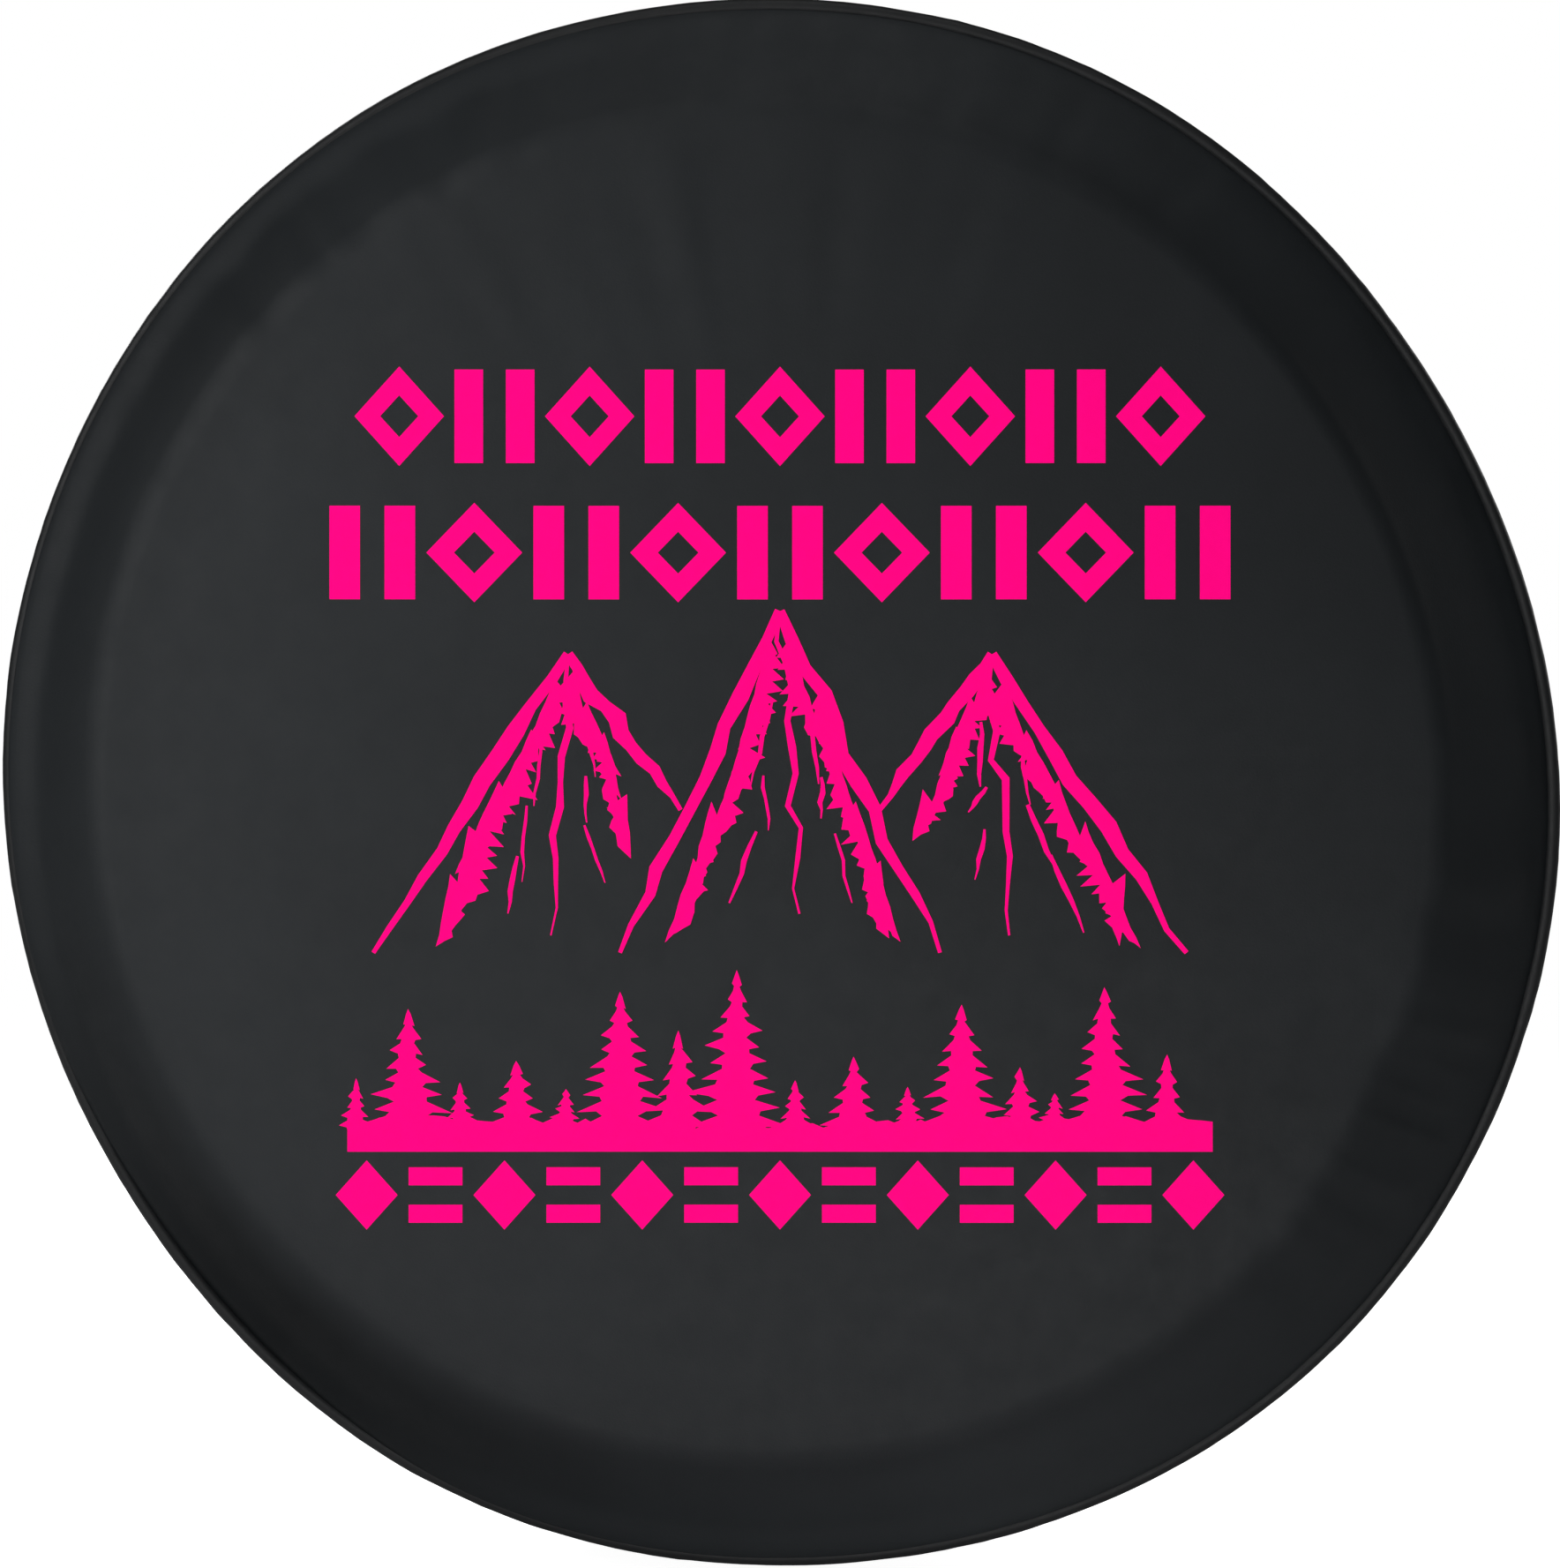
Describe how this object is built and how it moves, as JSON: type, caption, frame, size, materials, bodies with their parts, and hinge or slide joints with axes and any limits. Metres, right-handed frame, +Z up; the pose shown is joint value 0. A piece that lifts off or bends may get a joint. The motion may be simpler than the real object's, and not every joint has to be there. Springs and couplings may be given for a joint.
{
  "type": "spare tire cover",
  "caption": "Round soft cover for a spare tire: flat printed face, sloping rim, piped front seam, band round the tread and an elastic hem that grips behind the tire.",
  "frame": {"origin": "the centre of the tire that the cover is on, on the axle's line, halfway between the tire's two side walls", "axes": "-Y the way the printed face looks, +Y along the axle towards the vehicle, out of the elastic mouth; +Z up as the print stands; +X to the right when looking at the face"},
  "size_m": [0.73, 0.2371, 0.73],
  "materials": {
    "vinyl": "matte black coated vinyl, fine grain",
    "print_film": "flat bright pink print film",
    "knit_backing": "brushed polyester knit backing",
    "piping_cord": "foamed plastic piping cord",
    "elastic": "rubber cord in a woven black sleeve",
    "plated_metal": "satin nickel plate on pressed brass",
    "thread": "black bonded polyester thread",
    "join_tape": "black woven seam tape",
    "label_cloth": "blank white woven label"
  },
  "bodies": {
    "cover": {"face_panel": "vinyl", "face_lining": "knit_backing", "piping_wrap": "vinyl", "piping_core": "piping_cord", "face_seam_thread": "thread", "band_upper": "vinyl", "band_lower": "vinyl", "join_tape_left": "join_tape", "join_tape_right": "join_tape", "join_thread_left": "thread", "join_thread_right": "thread", "hem_casing": "vinyl", "hem_thread": "thread", "elastic_cord": "elastic", "elastic_ferrule": "plated_metal", "lock_eyelet_left": "plated_metal", "lock_eyelet_right": "plated_metal", "lock_washer_left": "plated_metal", "lock_washer_right": "plated_metal", "lock_patch_left": "vinyl", "lock_patch_right": "vinyl", "drain_eyelet_front": "plated_metal", "drain_eyelet_rear": "plated_metal", "drain_washer_front": "plated_metal", "drain_washer_rear": "plated_metal", "print_row_upper": "print_film", "print_row_middle": "print_film", "print_row_lower": "print_film", "print_mountains": "print_film", "print_pines": "print_film"},
    "label": {"care_label": "label_cloth"}
  },
  "joints": [
    {"name": "label_flap", "type": "hinge", "parent": "cover", "child": "label", "pos_m": [0, 0.1145, 0.2425], "axis": [1, 0, 0], "range_deg": [-20, 80]}
  ]
}
